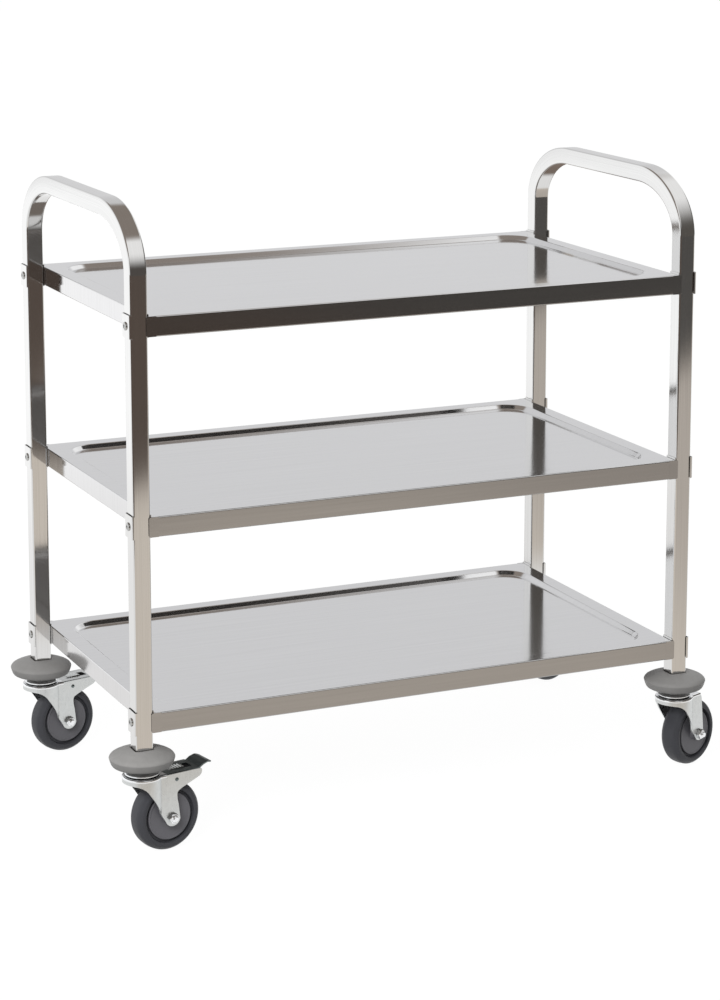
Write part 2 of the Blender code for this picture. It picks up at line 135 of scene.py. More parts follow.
def arc(centre, radius, start, end, steps):
    """Points along a circle, angles in degrees."""
    angles = [math.radians(start + (end - start) * i / steps) for i in range(steps + 1)]
    return [(centre[0] + radius * math.cos(a), centre[1] + radius * math.sin(a)) for a in angles]


def loft(rings, uvs=None, caps=(False, False)):
    """A surface through closed rings of equal length. uvs holds one (u, v) row for each ring,
    with one more entry than the ring has points."""
    mesh = bpy.data.meshes.new("loft")
    work = bmesh.new()
    layer = work.loops.layers.uv.new("grain") if uvs else None
    rows = [[work.verts.new(point) for point in ring] for ring in rings]
    count = len(rings[0])
    for a, b in zip(range(len(rows)), range(1, len(rows))):
        for i in range(count):
            j = (i + 1) % count
            face = work.faces.new((rows[a][i], rows[a][j], rows[b][j], rows[b][i]))
            if layer:
                corners = (uvs[a][i], uvs[a][i + 1], uvs[b][i + 1], uvs[b][i])
                for part, uv in zip(face.loops, corners):
                    part[layer].uv = uv
    for wanted, ring in zip(caps, (rows[0][::-1], rows[-1])):
        if wanted:
            face = work.faces.new(ring)
            if layer:
                for part in face.loops:
                    part[layer].uv = (part.vert.co.x, part.vert.co.y)
    bmesh.ops.recalc_face_normals(work, faces=work.faces)
    work.to_mesh(mesh)
    work.free()
    return mesh


def lathe(profile, steps=64, ring=False):
    """Turns (radius, height) points about Z. A point on the axis closes that end; ring joins the
    profile's last point to its first. UVs are metres round and along."""
    work = bmesh.new()
    layer = work.loops.layers.uv.new("grain")
    rows, along = [], [0.0]
    for a, b in zip(profile, profile[1:]):
        along.append(along[-1] + math.dist(a, b))
    for radius, height in profile:
        if radius < 1e-7:
            rows.append([work.verts.new((0, 0, height))])
            continue
        angles = [2 * math.pi * i / steps for i in range(steps)]
        rows.append(
            [work.verts.new((radius * math.cos(a), radius * math.sin(a), height)) for a in angles]
        )
    pairs = list(zip(range(len(rows)), range(1, len(rows))))
    if ring:
        pairs.append((len(rows) - 1, 0))
    widest = max(radius for radius, _ in profile)
    for a, b in pairs:
        for i in range(steps):
            j = (i + 1) % steps
            spots = [(a, i), (a, j), (b, j), (b, i)]
            if len(rows[a]) == 1:
                spots = [(a, 0), (b, j), (b, i)]
            if len(rows[b]) == 1:
                spots = [(a, i), (a, j), (b, 0)]
            face = work.faces.new([rows[row][k] for row, k in spots])
            for part, (row, k) in zip(face.loops, spots):
                turn = i + 1 if (k == j and len(rows[row]) > 1) else i
                part[layer].uv = (widest * 2 * math.pi * turn / steps, along[row])
    bmesh.ops.recalc_face_normals(work, faces=work.faces)
    mesh = bpy.data.meshes.new("lathe")
    work.to_mesh(mesh)
    work.free()
    return mesh


def plate_of(outline, thickness, cuts=()):
    """A flat plate in XY, centred on Z = 0. cuts are X positions to divide it at, so that it can
    be bent."""
    work = bmesh.new()
    face = work.faces.new([work.verts.new((x, y, -thickness / 2)) for x, y in outline])
    face.normal_update()
    bmesh.ops.triangulate(work, faces=[face])
    for x in cuts:
        everything = work.verts[:] + work.edges[:] + work.faces[:]
        bmesh.ops.bisect_plane(
            work, geom=everything, plane_co=(x, 0, 0), plane_no=(1, 0, 0), dist=1e-6
        )
    made = bmesh.ops.extrude_face_region(work, geom=work.faces[:])
    raised = [item for item in made["geom"] if isinstance(item, bmesh.types.BMVert)]
    bmesh.ops.translate(work, verts=raised, vec=(0, 0, thickness))
    bmesh.ops.recalc_face_normals(work, faces=work.faces)
    mesh = bpy.data.meshes.new("plate")
    work.to_mesh(mesh)
    work.free()
    return mesh


def rounded_edges(mesh, width, angle=40, segments=2):
    """Rounds every edge sharper than angle degrees."""
    work = bmesh.new()
    work.from_mesh(mesh)
    limit = math.radians(angle)
    edges = [e for e in work.edges if e.is_manifold and e.calc_face_angle(0) > limit]
    bmesh.ops.bevel(
        work, geom=edges, offset=width, segments=segments, profile=0.5, affect="EDGES",
        clamp_overlap=True, loop_slide=True,
    )
    work.to_mesh(mesh)
    work.free()
    return mesh


def boolean(base, operation, *tools):
    """Joins, cuts or intersects closed meshes, one after the other."""
    for tool in tools:
        first = bpy.data.objects.new("base", base)
        second = bpy.data.objects.new("tool", tool)
        for helper in (first, second):
            scene.collection.objects.link(helper)
        cut = first.modifiers.new("cut", "BOOLEAN")
        cut.operation = operation
        cut.object = second
        graph = bpy.context.evaluated_depsgraph_get()
        base = bpy.data.meshes.new_from_object(first.evaluated_get(graph))
        for helper in (first, second):
            bpy.data.objects.remove(helper, do_unlink=True)
    return base


def quarter_turn(axis, turns=1):
    return Matrix.Rotation(math.radians(90 * turns), 4, axis)


def moved(mesh, *matrices):
    """Moves a mesh by each matrix in turn."""
    for matrix in matrices:
        mesh.transform(matrix)
    return mesh


def on_y(mesh):
    """Lays a turned shape's axis along Y, its top towards -Y."""
    return moved(mesh, quarter_turn("X"))


def in_mm(points):
    """Carries (x, y) points given in millimetres to metres."""
    return [(x * MM, y * MM) for x, y in points]


def lay_grain(mesh, along, across):
    """Gives a mesh UVs straight from two of its coordinates."""
    layer = mesh.uv_layers.new(name="grain")
    for part, uv in zip(mesh.loops, layer.data):
        spot = mesh.vertices[part.vertex_index].co
        uv.uv = (spot[along], spot[across])
    return mesh


def finish_mesh(mesh, material, sharp=38):
    mesh.materials.clear()
    mesh.materials.append(material)
    mesh.shade_smooth()
    mesh.set_sharp_from_angle(angle=math.radians(sharp))
    return mesh


def piece(name, mesh, body, nodes=(), matrix=None):
    """Adds a piece that rides on a body and stands for CAD nodes."""
    made = bpy.data.objects.new(name, mesh)
    scene.collection.objects.link(made)
    if matrix is not None:
        made.matrix_world = matrix
    weighted = made.modifiers.new("normals", "WEIGHTED_NORMAL")
    weighted.keep_sharp = True
    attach(made, body)
    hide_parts(*nodes)
    return made


# ---- materials ----


RANGE_KEYS = ("From Min", "From Max", "To Min", "To Max")


class Surface:
    """A Principled material and short ways to add nodes to it."""

    def __init__(self, name, colour, roughness, metallic=0.0):
        self.material = bpy.data.materials.new(name)
        self.material.use_nodes = True
        self.tree = self.material.node_tree
        self.shader = self.tree.nodes["Principled BSDF"]
        self.shader.inputs["Base Color"].default_value = (*colour, 1)
        self.shader.inputs["Roughness"].default_value = roughness
        self.shader.inputs["Metallic"].default_value = metallic

    def node(self, kind, **values):
        made = self.tree.nodes.new(kind)
        for key, value in values.items():
            if key in made.inputs:
                made.inputs[key].default_value = value
            else:
                setattr(made, key, value)
        return made

    def link(self, source, target):
        self.tree.links.new(source, target)

    def place(self, scale, uv=True):
        """Coordinates, in metres times scale."""
        if uv:
            source = self.node("ShaderNodeUVMap", uv_map="grain").outputs["UV"]
        else:
            source = self.node("ShaderNodeTexCoord").outputs["Object"]
        mapping = self.node("ShaderNodeMapping")
        mapping.inputs["Scale"].default_value = scale
        self.link(source, mapping.inputs["Vector"])
        return mapping.outputs["Vector"]

    def noise(self, vector, detail=3, scale=1.0, roughness=0.5):
        made = self.node("ShaderNodeTexNoise", Scale=scale, Detail=detail, Roughness=roughness)
        self.link(vector, made.inputs["Vector"])
        return made.outputs["Fac"]

    def spread(self, value, low, high, source=(0.3, 0.7)):
        """A 0 to 1 value carried onto low to high."""
        made = self.node("ShaderNodeMapRange")
        self.link(value, made.inputs["Value"])
        for key, number in zip(RANGE_KEYS, (*source, low, high)):
            made.inputs[key].default_value = number
        return made.outputs["Result"]

    def tint(self, value, low, high, source=(0.3, 0.7)):
        """A colour between low and high."""
        made = self.node("ShaderNodeMix", data_type="RGBA")
        self.link(self.spread(value, 0, 1, source), made.inputs["Factor"])
        made.inputs["A"].default_value = (*low, 1)
        made.inputs["B"].default_value = (*high, 1)
        return [out for out in made.outputs if out.type == "RGBA"][0]

    def darken(self, colour, factor, by):
        """Multiplies a colour by another where factor is 1."""
        made = self.node("ShaderNodeMixRGB", blend_type="MULTIPLY")
        made.inputs["Color2"].default_value = (*by, 1)
        self.link(factor, made.inputs["Fac"])
        self.link(colour, made.inputs["Color1"])
        return made.outputs["Color"]

    def size_of(self, value):
        """A value without its sign."""
        made = self.node("ShaderNodeMath", operation="ABSOLUTE")
        self.link(value, made.inputs[0])
        return made.outputs[0]

    def add(self, value, share, amount):
        """A value plus amount times share."""
        made = self.node("ShaderNodeMath", operation="MULTIPLY_ADD")
        made.inputs[1].default_value = amount
        self.link(share, made.inputs[0])
        self.link(value, made.inputs[2])
        return made.outputs[0]

    def bump(self, height, strength, distance, under=None):
        made = self.node("ShaderNodeBump", Strength=strength, Distance=distance)
        self.link(height, made.inputs["Height"])
        if under:
            self.link(under, made.inputs["Normal"])
        return made.outputs["Normal"]


# Painted shade: what a tray's sheet colour is multiplied by on its faces along X, on its end faces
# and underneath.
RIM_PAINTED_SHADE = (0.57, 0.56, 0.55)
END_PAINTED_SHADE = (0.86, 0.85, 0.845)
UNDER_PAINTED_SHADE = (0.265, 0.25, 0.24)


def brushed_steel(
    name, colour, roughness, grain, anisotropy=0.6, streak=0.1, ridge=0.0, sheet=False
):
    """Brushed steel: fine lines along the grain, streaks, broad soft bands and slight waves.
    A sheet has painted shade by which way each face looks: darker rims, duller along X, slightly
    darker end faces and a darker, rougher underside."""
    s = Surface(name, colour, roughness, 1.0)
    fine = s.noise(s.place(grain), detail=2)
    streaks = s.noise(s.place((grain[0] * 0.3, grain[1] * 0.16, 1)), detail=3, roughness=0.7)
    bands = s.noise(s.place((grain[0] * 0.25, grain[1] * 0.03, 1)), detail=4, roughness=0.6)
    waves = s.noise(s.place((9, 9, 9)), detail=1)
    tint = s.tint(bands, [c * 0.97 for c in colour], [min(1, c * 1.02) for c in colour])
    tint = s.darken(tint, s.spread(streaks, 0, 1), [1 - streak] * 3)
    rough = s.spread(streaks, roughness * 0.8, roughness * 1.25)
    # Painted shade on a sheet: its rims, end faces and underside are darkened by the way they face.
    if sheet:
        apart = s.node("ShaderNodeSeparateXYZ")
        s.link(s.node("ShaderNodeNewGeometry").outputs["True Normal"], apart.inputs[0])
        rim, end = (s.spread(s.size_of(apart.outputs[axis]), 0, 1, (0.75, 0.95)) for axis in "YX")
        under = s.spread(apart.outputs["Z"], 1, 0, (-0.9, -0.3))
        tint = s.darken(tint, rim, RIM_PAINTED_SHADE)
        tint = s.darken(tint, end, END_PAINTED_SHADE)
        tint = s.darken(tint, under, UNDER_PAINTED_SHADE)
        rough = s.add(rough, rim, 0.06)
        rough = s.add(rough, under, 0.4)
    s.link(tint, s.shader.inputs["Base Color"])
    s.link(rough, s.shader.inputs["Roughness"])
    rippled = s.bump(waves, 0.25, 0.0005)
    ridged = s.bump(streaks, 1.0, ridge, rippled)
    s.link(s.bump(fine, 0.06, 0.00002, ridged), s.shader.inputs["Normal"])
    s.shader.inputs["Anisotropic"].default_value = anisotropy
    tangent = s.node("ShaderNodeTangent", direction_type="UV_MAP", uv_map="grain")
    s.link(tangent.outputs["Tangent"], s.shader.inputs["Tangent"])
    return s.material


def plated(name, colour, roughness, mottling=0.05):
    """Zinc or nickel plate: a soft mottle in colour and gloss over fine upright rolling lines."""
    s = Surface(name, colour, roughness, 1.0)
    cloud = s.noise(s.place((130, 130, 130), uv=False), detail=4, roughness=0.6)
    lines = s.noise(s.place((900, 900, 60), uv=False), detail=2)
    dim = [c * (1 - 2 * mottling) for c in colour]
    bright = [min(1, c * (1 + mottling)) for c in colour]
    tint = s.tint(cloud, dim, bright)
    s.link(s.darken(tint, s.spread(lines, 0, 1), (0.93, 0.93, 0.93)), s.shader.inputs["Base Color"])
    s.link(s.spread(cloud, roughness * 0.85, roughness * 1.2), s.shader.inputs["Roughness"])
    soft = s.bump(cloud, 0.1, 0.0002)
    s.link(s.bump(lines, 0.05, 0.00002, soft), s.shader.inputs["Normal"])
    return s.material


def rubber(name, colour, roughness, texture=1400, spread=0.06, specular=0.4):
    """Moulded rubber or plastic: a fine sparked texture and a little unevenness in colour."""
    s = Surface(name, colour, roughness)
    grain = s.noise(s.place((texture, texture, texture), uv=False), detail=2)
    cloud = s.noise(s.place((60, 60, 60), uv=False), detail=4, roughness=0.6)
    s.link(
        s.tint(cloud, [c * (1 - spread) for c in colour], [c * (1 + spread) for c in colour]),
        s.shader.inputs["Base Color"],
    )
    s.link(s.spread(grain, roughness * 0.9, min(1, roughness * 1.1)), s.shader.inputs["Roughness"])
    s.link(s.bump(grain, 0.25, 0.00008), s.shader.inputs["Normal"])
    s.shader.inputs["Specular IOR Level"].default_value = specular
    return s.material


STEEL = brushed_steel(
    "brushed_stainless",
    (0.71, 0.705, 0.697),
    0.075,
    grain=(9, 5600, 1),
    anisotropy=0.35,
    streak=0.13,
    ridge=0.018 * MM,
)
# The trays' sheet, with painted shade on its rims, end faces and underside.
SHEET_STEEL = brushed_steel(
    "polished_stainless", (0.735, 0.735, 0.74), 0.09, grain=(12, 5200, 1), streak=0.05, sheet=True
)
BRIGHT = plated("bright_steel", (0.86, 0.87, 0.88), 0.16, 0.02)
# The screws' plate, darker than the bright plate as painted shade.
SCREW_STEEL_PAINTED_SHADE = plated("screw_steel_painted_shade", (0.46, 0.46, 0.45), 0.1, 0.02)
ZINC = plated("zinc_plate", (0.62, 0.635, 0.63), 0.3)
# The zinc plate darkened as painted shade, for the front pedal and the rivets.
ZINC_PAINTED_SHADE = plated("zinc_plate_painted_shade", (0.17, 0.2, 0.2), 0.34)
# Near black, put where there is only shadow: painted shade in the races' gap and in the screws'
# cross recesses.
PAINTED_SHADOW = plated("painted_shadow", (0.04, 0.04, 0.04), 0.4)
BUMPER = rubber("bumper_rubber", (0.265, 0.26, 0.254), 0.5)
TYRE = rubber("tyre_rubber", (0.05, 0.051, 0.058), 0.5, specular=0.3)
HUB = rubber("hub_plastic", (0.13, 0.128, 0.14), 0.42, texture=900)
SHOE = rubber("shoe_rubber", (0.012, 0.012, 0.013), 0.6, specular=0.1)


# ---- end frames ----


def section_ring(centre, normal, half, rounding, steps=6):
    """A rounded square across the tube: its sides along X and along normal."""
    corners = ((half, half), (-half, half), (-half, -half), (half, -half))
    points = fillet([(x, y, rounding) for x, y in corners], closed=True, steps=steps)
    return [centre + Vector((x, 0, 0)) + normal * y for x, y in points]


def end_frame_mesh(low, high):
    """The bent tube, from its CAD box: front foot, handle, back foot."""
    middle_x = (low.x + high.x) / 2
    depth, top = high.y, high.z
    steps = 30
    leg_heights = (low.z, (low.z + top) / 2, top - BEND_DROP)
    half_path = [
        (Vector((middle_x, depth - TUBE / 2, z)), Vector((0, 1, 0))) for z in leg_heights
    ]
    for i in range(1, steps + 1):
        angle = math.pi / 2 * i / steps
        out = Vector((0, math.cos(angle) / BEND_REACH, math.sin(angle) / BEND_DROP)).normalized()
        rim = Vector(
            (
                middle_x,
                depth - BEND_REACH + BEND_REACH * math.cos(angle),
                top - BEND_DROP + BEND_DROP * math.sin(angle),
            )
        )
        half_path.append((rim - out * TUBE / 2, out))
    mirror = Matrix.Diagonal((1, -1, 1))
    path = [(mirror @ spot, mirror @ out) for spot, out in half_path] + half_path[::-1]
    rings, uvs, length = [], [], 0.0
    for i, (spot, out) in enumerate(path):
        if i:
            length += (spot - path[i - 1][0]).length
        ring = section_ring(spot, out, TUBE / 2, TUBE_ROUNDING)
        around = [0.0]
        for a, b in zip(ring, ring[1:] + ring[:1]):
            around.append(around[-1] + (b - a).length)
        rings.append(ring)
        uvs.append([(length, distance) for distance in around])
    return loft(rings, uvs, caps=(True, True))


for side in SIDES:
    node = f"end_frame_{side}"
    tube_mesh = finish_mesh(end_frame_mesh(*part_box(node)), STEEL)
    piece(f"bent_tube_{side}", tube_mesh, "cart", [node])


# ---- trays ----


def rectangle_ring(half_x, half_y, radius, height, steps=10):
    """Points round a rectangle with rounded corners, anticlockwise from the +X side."""
    ring = []
    for quarter, (sx, sy) in enumerate(((1, 1), (-1, 1), (-1, -1), (1, -1))):
        centre = (sx * (half_x - radius), sy * (half_y - radius))
        start = 90 * quarter
        ring += [(x, y, height) for x, y in arc(centre, radius, start, start + 90, steps)]
    return ring


def tray_profile():
    """(inset, height) along the sheet's outer face: return, rim, border, slope and floor."""
    bend, brow, foot, floor_run = 1.7 * MM, 4 * MM, 3.5 * MM, 20 * MM
    return fillet(
        [
            (RIM_RETURN, -RIM_HEIGHT, 0),
            (0, -RIM_HEIGHT, bend),
            (0, 0, bend),
            (FLANGE, 0, brow),
            (FLANGE + RECESS_SLOPE, -RECESS_DEPTH, foot),
            (FLANGE + RECESS_SLOPE + floor_run, -RECESS_DEPTH, 0),
        ],
        steps=6,
    )


def tray_mesh(half_x, half_y):
    """The pressed sheet with its upper face at Z = 0."""
    outer = tray_profile()
    inner = offset_line(outer, SHEET)
    rings, uvs = [], []
    for line in (inner[::-1], outer):
        for inset, height in line:
            share = min(1, max(0, inset / FLANGE))
            radius = TRAY_CORNER + (RECESS_CORNER - TRAY_CORNER) * share
            if inset > FLANGE:
                radius = RECESS_CORNER - (inset - FLANGE)
            ring = rectangle_ring(half_x - inset, half_y - inset, max(radius, 0.4 * MM), height)
            row = []
            for x, y, z in ring + ring[:1]:
                fold = -z if inset < 3 * MM else 0
                on_end = abs(x) / half_x > abs(y) / half_y
                row.append(
                    (x + math.copysign(fold, x) * on_end, y + math.copysign(fold, y) * (not on_end))
                )
            rings.append(ring)
            uvs.append(row)
    return loft(rings, uvs, caps=(True, True))


def channel_mesh():
    """A folded channel round a leg's -X face, about the leg's axis."""
    near = TUBE / 2 + CLEARANCE
    lip = -(TUBE / 2 - PLATE_LIP + CLEARANCE)
    outer = fillet(
        [(lip, -near - PLATE, 0), (-near - PLATE, -near - PLATE, 1.6 * MM),
         (-near - PLATE, near + PLATE, 1.6 * MM), (lip, near + PLATE, 0)],
        steps=5,
    )
    inner = offset_line(outer, -PLATE)
    section = outer + inner[::-1]
    around = [0.0]
    for a, b in zip(section, section[1:] + section[:1]):
        around.append(around[-1] + math.dist(a, b))
    half = PLATE_HEIGHT / 2
    bevel = 0.25 * MM
    heights = [(-half, bevel), (-half + bevel, 0), (half - bevel, 0), (half, bevel)]
    rings, uvs = [], []
    for height, shrink in heights:
        shrunk_outer = offset_line(outer, -shrink) if shrink else outer
        shrunk_inner = offset_line(outer, -PLATE + shrink) if shrink else inner
        ring = [(x, y, height) for x, y in shrunk_outer + shrunk_inner[::-1]]
        rings.append(ring)
        uvs.append([(height, distance) for distance in around])
    return loft(rings, uvs, caps=(True, True))


def backing_mesh():
    """The flat plate between a leg's +X face and the tray, about the leg's axis."""
    half, high = TUBE / 2 - 0.2 * MM, PLATE_HEIGHT / 2
    corners = ((-half, -high), (half, -high), (half, high), (-half, high))
    outline = fillet([(x, y, 1 * MM) for x, y in corners], closed=True)
    mesh = rounded_edges(plate_of(outline, PLATE), 0.2 * MM, angle=60)
    beside = Matrix.Translation((TUBE / 2 + CLEARANCE + PLATE / 2, 0, 0))
    return lay_grain(moved(mesh, quarter_turn("X"), quarter_turn("Z"), beside), 2, 1)


def rim_end_mesh():
    """The end of a long rim, lapped over a leg: flat in XZ with its outer end at +X, facing -Y."""
    long, inner, outer = 14 * MM, 0.5 * MM, 2.6 * MM
    outline = fillet(
        [(-long, -RIM_HEIGHT, inner), (0, -RIM_HEIGHT, outer), (0, 0, outer), (-long, 0, inner)],
        closed=True,
    )
    mesh = rounded_edges(plate_of(outline, RIM_END_SHEET), 0.3 * MM, angle=60)
    return lay_grain(moved(mesh, quarter_turn("X")), 0, 2)


def screw_mesh():
    """A pan-head screw with a cross recess, along +X with its seat at X = 0."""
    head, high = 6 * MM, 3.4 * MM
    dome = [(0, high)] + [
        (head * 0.97 * math.sin(math.radians(a)), high * (0.42 + 0.58 * math.cos(math.radians(a))))
        for a in (12, 24, 36, 48, 60, 72, 84)
    ]
    shank, tip, length = 2.4 * MM, 1.6 * MM, 34 * MM
    profile = dome + [(head, high * 0.3), (head, 0.25 * MM), (head - 0.25 * MM, 0), (shank, 0)]
    profile += [(shank, -33 * MM), (tip, -length), (0, -length)]
    body = lathe(profile, 48)
    reach, thin, deep = 3.8 * MM, 0.85 * MM, 0.8 * MM
    wing = [(-reach, high + 1 * MM), (reach, high + 1 * MM), (1.1 * MM, deep), (-1.1 * MM, deep)]
    blades = []
    for turn in (CROSS_TURN, CROSS_TURN + 90):
        upright = Matrix.Rotation(math.radians(turn), 4, "Z")
        blades.append(moved(plate_of(wing, 2 * thin), quarter_turn("X"), upright))
    return moved(boolean(body, "DIFFERENCE", *blades), quarter_turn("Y", -1))


def cross_shadow_mesh():
    """A black cross put as painted shadow at the bottom of a screw's cross recess, in the screw's
    own frame.
    """
    long, short, top, deep = 3.3 * MM, 0.75 * MM, 2.75 * MM, 1.2 * MM
    cross = [(long, short), (short, short), (short, long)]
    cross += [(-short, long), (-short, short), (-long, short)]
    cross += [(-x, -y) for x, y in cross]
    sunk = Matrix.Translation((0, 0, (top + deep) / 2))
    turn = Matrix.Rotation(math.radians(CROSS_TURN), 4, "Z")
    return moved(plate_of(cross, top - deep), sunk, turn, quarter_turn("Y", -1))


CHANNEL = finish_mesh(channel_mesh(), STEEL)
BACKING = finish_mesh(backing_mesh(), STEEL)
RIM_END = finish_mesh(rim_end_mesh(), SHEET_STEEL)
SCREW = finish_mesh(screw_mesh(), SCREW_STEEL_PAINTED_SHADE, 30)
# The painted shadow in each screw's cross recess.
CROSS_SHADOW = finish_mesh(cross_shadow_mesh(), PAINTED_SHADOW, 30)

# The channels reach beyond the sheets, whose ends are found from the legs' inner faces.
left_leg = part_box("end_frame_left")[1].x
right_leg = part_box("end_frame_right")[0].x
half_x = (right_leg - left_leg) / 2 - CLEARANCE - PLATE / 2

for level in LEVELS:
    node = f"tray_{level}"
    low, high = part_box(node)
    surface = high.z - PLATE_RISE
    centre = Vector(((low.x + high.x) / 2, 0, surface))
    sheet = finish_mesh(tray_mesh(half_x, high.y), SHEET_STEEL)
    piece(node + "_sheet", sheet, "cart", [node], Matrix.Translation(centre))
    rim_face = high.y
    for end, y_side in ENDS.items():
        for side, x_side in SIDES.items():
            low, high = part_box(f"screw_{level}_{end}_{side}")
            y, z = (low.y + high.y) / 2, (low.z + high.z) / 2
            leg = [(a + b) / 2 for a, b in zip(*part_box(f"end_frame_{side}"))]
            turn = Matrix.Rotation(math.radians(0 if x_side < 0 else 180), 4, "Z")
            spot = Matrix.Translation((leg[0], y, z))
            name = f"{level}_{end}_{side}"
            around_leg = spot @ turn
            channel = [f"cover_plate_{name}"]
            piece(f"plate_{name}", CHANNEL, "cart", channel, around_leg)
            piece(f"backing_{name}", BACKING, "cart", [], around_leg)
            rim_tip = Vector((x_side * (half_x + RIM_LAP), y_side * (rim_face - RIM_END_INSET), 0))
            lap = Matrix.Translation(centre + rim_tip)
            facing = Matrix.Rotation(0 if y_side < 0 else math.pi, 4, "Z")
            if x_side * y_side > 0:
                facing = facing @ Matrix.Diagonal((-1, 1, 1, 1))
            piece(f"rim_end_{name}", RIM_END, "cart", [], lap @ facing)
            seat = x_side * (TUBE / 2 + PLATE + 2 * CLEARANCE)
            place = Matrix.Translation((leg[0] + seat, y, z)) @ turn
            screw = [f"screw_{name}"]
            piece(f"cross_screw_{name}", SCREW, "cart", screw, place)
            piece(f"cross_shadow_{name}", CROSS_SHADOW, "cart", [], place)


# ---- bumpers ----


def bumper_mesh():
    """A domed rubber disc, about the leg's axis, with a square pocket for the leg."""
    count, corner_reach = 96, 1.33

    def ring(square, radius, height):
        """square is the share of a rounded square of that half width; the rest is a circle."""
        points = []
        for i in range(count):
            a = 2 * math.pi * (i + 0.5) / count
            c, s = math.cos(a), math.sin(a)
            side = radius / max(abs(c), abs(s))
            reach = min(side, radius * corner_reach) * square + radius * (1 - square)
            points.append((c * reach, s * reach, height))
        return points

    pocket = [(1, 13.5, 128.7), (1, 13.5, 150.2), (1, 13.8, 150.9), (0.9, 14.6, 151.3)]
    dome = [(0.55, 16.6, 151.4), (0.2, 19.5, 151.0), (0, 23, 150.2), (0, 28, 148.9), (0, 33, 147.3)]
    dome += [(0, 38, 145.3), (0, 41.5, 143.6), (0, 43.6, 142.2), (0, 44.9, 140.6)]
    edge = [(0, 45.5, 139.4), (0, 45.6, 138.6), (0, 45.3, 137.7), (0, 44.3, 134.2)]
    below = [(0, 42.8, 130.4), (0, 41.4, 128.5), (0, 39.5, 127.5), (0, 34, 126.3)]
    below += [(0, 27, 124.8), (0, 16, 124.6)]
    rows = pocket + dome + edge + below
    rings = [ring(square, radius * MM, height * MM) for square, radius, height in rows]
    return loft(rings, caps=(True, True))


BUMPER_MESH = finish_mesh(bumper_mesh(), BUMPER, 50)


# ---- casters, in their own frame: x trails from the stem to the axle, z up from the floor ----


def stem_mesh():
    """Neck, dished upper race and the peened end of the kingpin."""
    neck = [(0, 124.4, 0), (14.5, 124.4, 0.4), (14.5, 120.4, 0)]
    race = [(21.4, 120.4, 1.8), (24.8, 117.2, 1.2), (24.4, 115.3, 0.4)]
    kingpin = [(5, 115.3, 0), (5, 111.5, 0), (8, 111.5, 1), (7, 108.2, 1), (0, 107.9, 0)]
    return lathe(in_mm(fillet(neck + race + kingpin, steps=5)), 72)


def race_gap_shadow_mesh():
    """A black ring put as painted shadow in the gap between the races."""
    profile = [(10, 115.2), (22.4, 115.2), (22.8, 114.7), (22.4, 114.2), (10, 114.2)]
    return lathe(in_mm(profile), 72, ring=True)


def fork_pattern(kind):
    """The pressed yoke laid out flat: distance round the crown against height."""
    corner = math.acos(CREASE / CROWN_RADIUS)
    reach = CROWN_RADIUS * (math.pi - corner)

    def round_crown(x, z):
        if x * MM >= CREASE:
            return (reach + x * MM - CREASE, z * MM)
        return (CROWN_RADIUS * (math.pi - math.acos(max(-1, x * MM / CROWN_RADIUS))), z * MM)

    front = [(-27.6, 104.9), (-24, 104.6), (-18, 103.6), (-13.6, 101.6), (-9.5, 98.6), (-6, 95)]
    front += [(-1, 87.6), (3, 82), (7, 76), (11, 69), (14, 63)]
    if kind == "braked":
        foot, end = 12, -12
        back = [(44.3, 68), (42.6, 76), (42.3, 82), (42.7, 85), (44.4, 87.4), (50, 90.4)]
        back += [(59, 94), (78, 101.6), (80.8, 103.6), (82.3, 106.2), (82.8, 109.4)]
        back += [(82, 111.8), (80, 112.6)]
    else:
        foot, end = 10, -5
        back = [(43.4, 66), (41, 88), (39.6, 102), (39, 107), (37, 111), (33.5, 112.6)]
    tip = [(x / MM, z / MM) for x, z in arc((TRAIL, WHEEL_RADIUS), foot * MM, 200, 360 + end, 14)]
    half = [round_crown(x, z) for x, z in front + tip + back]
    return [(-s, z) for s, z in half[::-1]] + half, reach


def fork_mesh(kind):
    """The yoke's wall: its flat pattern bent round the crown."""
    pattern, reach = fork_pattern(kind)
    cuts = [reach * i / 20 for i in range(-20, 21)]
    wall = rounded_edges(plate_of(pattern, FORK_SHEET, cuts), 0.35 * MM, angle=60)
    middle = CROWN_RADIUS - FORK_SHEET / 2
    crease = math.acos(CREASE / CROWN_RADIUS)
    plate_y = CROWN_RADIUS * math.sin(crease) - FORK_SHEET / 2
    for vertex in wall.vertices:
        s, z, depth = vertex.co
        across = math.copysign(1, s)
        if abs(s) <= reach:
            angle = math.pi - abs(s) / CROWN_RADIUS
            radius = middle + depth
            vertex.co = (radius * math.cos(angle), across * radius * math.sin(angle), z)
        else:
            vertex.co = (CREASE + abs(s) - reach, across * (plate_y + depth), z)
    wall.update()
    return wall


def crown_mesh(kind):
    """The yoke's top plate, with its edge rounded over."""
    crease = math.degrees(math.acos(CREASE / CROWN_RADIUS))
    back = (26 if kind == "braked" else 36) * MM
    half = CROWN_RADIUS * math.sin(math.radians(crease))
    rim = [(0, 109.9), (-0.45, 110.3), (-0.6, 111.1), (-0.5, 112.1), (-0.1, 112.9)]
    face = [(0.5, 113.5), (1.4, 113.9), (2.4, CROWN_TOP / MM), (8, CROWN_TOP / MM)]
    rows = []
    for shrink, height in rim + face:
        r = CROWN_RADIUS - shrink * MM
        side = half - shrink * MM
        ring = [(x, y, height * MM) for x, y in arc((0, 0), r, crease, 360 - crease, 60)]
        ring[0] = (ring[0][0], side, height * MM)
        ring[-1] = (ring[-1][0], -side, height * MM)
        rows.append([(back, side, height * MM)] + ring + [(back, -side, height * MM)])
    return loft(rows, caps=(True, True))


def thread_mesh(radius, length, pitch):
    """A threaded rod about Z, from 0 to length, with a chamfered end."""
    count, rings = 36, []
    levels = int(length / pitch * 8)
    for row in range(levels + 1):
        z = length * row / levels
        ring = []
        for i in range(count):
            turn = i / count
            phase = (z / pitch - turn) % 1
            depth = 0.55 * pitch * abs(2 * phase - 1)
            r = min(radius - depth, radius * 0.8 + (length - z))
            ring.append((r * math.cos(2 * math.pi * turn), r * math.sin(2 * math.pi * turn), z))
        rings.append(ring)
    return loft(rings, caps=(True, True))


